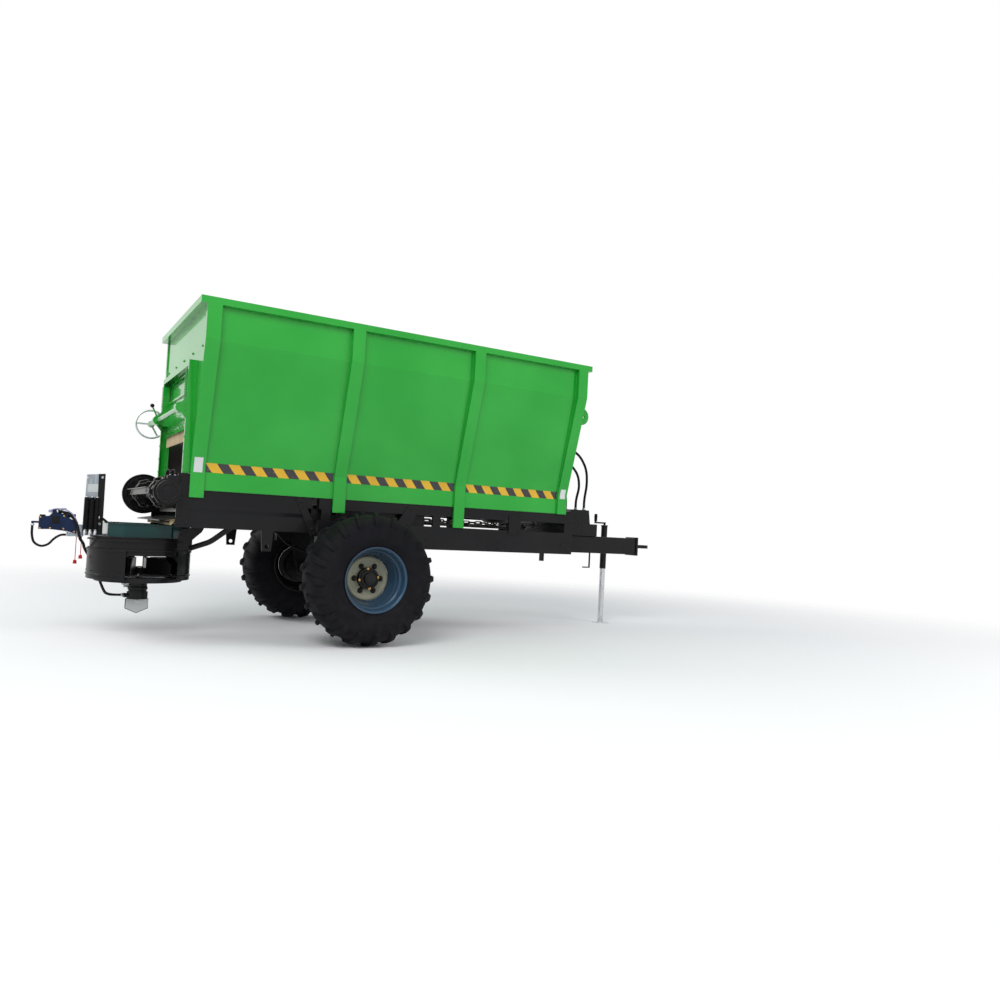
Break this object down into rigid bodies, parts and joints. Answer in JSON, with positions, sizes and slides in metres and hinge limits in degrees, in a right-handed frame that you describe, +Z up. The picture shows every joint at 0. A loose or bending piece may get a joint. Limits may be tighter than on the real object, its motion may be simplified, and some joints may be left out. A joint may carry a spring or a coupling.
{
  "type": "manure spreader",
  "caption": "Towed single-axle manure spreader: open green hopper with a chain floor, a rear gate with racks and handwheel, a disc spreader under the tail, and a drawbar with a parking jack.",
  "frame": {"origin": "centre of the footprint of the whole machine, on the ground", "axes": "+X forward along the drawbar, +Y to the left-hand wheel, +Z up"},
  "size_m": [5.652, 2.17, 2.39],
  "materials": {
    "green_paint": "gloss",
    "black_paint": "semi-gloss",
    "worn_steel": "worn",
    "teal_black": "gloss",
    "tyre_rubber": "matt",
    "rim_paint": "satin",
    "hub_black": "gloss",
    "tan_rubber": "matt",
    "hose_rubber": "satin",
    "red_caps": "satin",
    "zinc": "satin",
    "pale_plate": "satin"
  },
  "bodies": {
    "frame": {"axle": "black_paint", "axle_brackets": "black_paint", "cap_tethers": "red_caps", "chassis_left": "black_paint", "chassis_right": "black_paint", "chute": "black_paint", "conveyor": "worn_steel", "conveyor_motor": "black_paint", "conveyor_rollers": "black_paint", "crossmembers": "black_paint", "drawbar": "black_paint", "drawbar_box": "black_paint", "drive_disc": "black_paint", "drum_guards": "black_paint", "foot_plate": "pale_plate", "front_hoses": "hose_rubber", "front_wall": "green_paint", "gate_frame": "green_paint", "gear_cases": "green_paint", "hitch_eye": "black_paint", "hopper_floor": "worn_steel", "hopper_side_left": "green_paint", "hopper_side_right": "green_paint", "jack_tube": "black_paint", "rear_hoses": "hose_rubber", "rear_wall": "green_paint", "ribbed_block": "black_paint", "scraper": "tan_rubber", "spinner_motor": "black_paint", "spreader_drum": "black_paint", "spreader_tray": "teal_black", "upright_plate": "zinc", "valve_block": "black_paint"},
    "wheel_right": {"tyre_right": "tyre_rubber", "rim_right": "rim_paint", "hub_right": "hub_black"},
    "wheel_left": {"tyre_left": "tyre_rubber", "rim_left": "rim_paint", "hub_left": "hub_black"},
    "spinner_body": {"spinner": "black_paint"},
    "gate_body": {"gate": "green_paint", "gate_flap": "tan_rubber"},
    "gate_drive": {"gate_shaft": "green_paint", "handwheel": "zinc"},
    "jack_body": {"jack_leg": "zinc"}
  },
  "joints": [
    {"name": "wheel_right_spin", "type": "hinge", "parent": "frame", "child": "wheel_right", "pos_m": [-0.656, -0.8895, 0.495], "axis": [0, 1, 0], "continuous": true},
    {"name": "wheel_left_spin", "type": "hinge", "parent": "frame", "child": "wheel_left", "pos_m": [-0.656, 0.8895, 0.495], "axis": [0, 1, 0], "continuous": true},
    {"name": "spinner_spin", "type": "hinge", "parent": "frame", "child": "spinner_body", "pos_m": [-2.111, 0, 0.44], "axis": [0, 0, 1], "continuous": true},
    {"name": "gate_slide", "type": "slide", "parent": "frame", "child": "gate_body", "axis": [0, 0, 1], "range_m": [-0.235, 0]},
    {"name": "gate_shaft_turn", "type": "hinge", "parent": "frame", "child": "gate_drive", "pos_m": [-1.981, 0, 1.648], "axis": [0, 1, 0], "range_deg": [0, 562]},
    {"name": "jack_slide", "type": "slide", "parent": "frame", "child": "jack_body", "axis": [0, 0, 1], "range_m": [0, 0.28]}
  ],
  "couplings": [
    {"joint": "gate_shaft_turn", "follows": "gate_slide", "rad_per_m": -41.667}
  ]
}
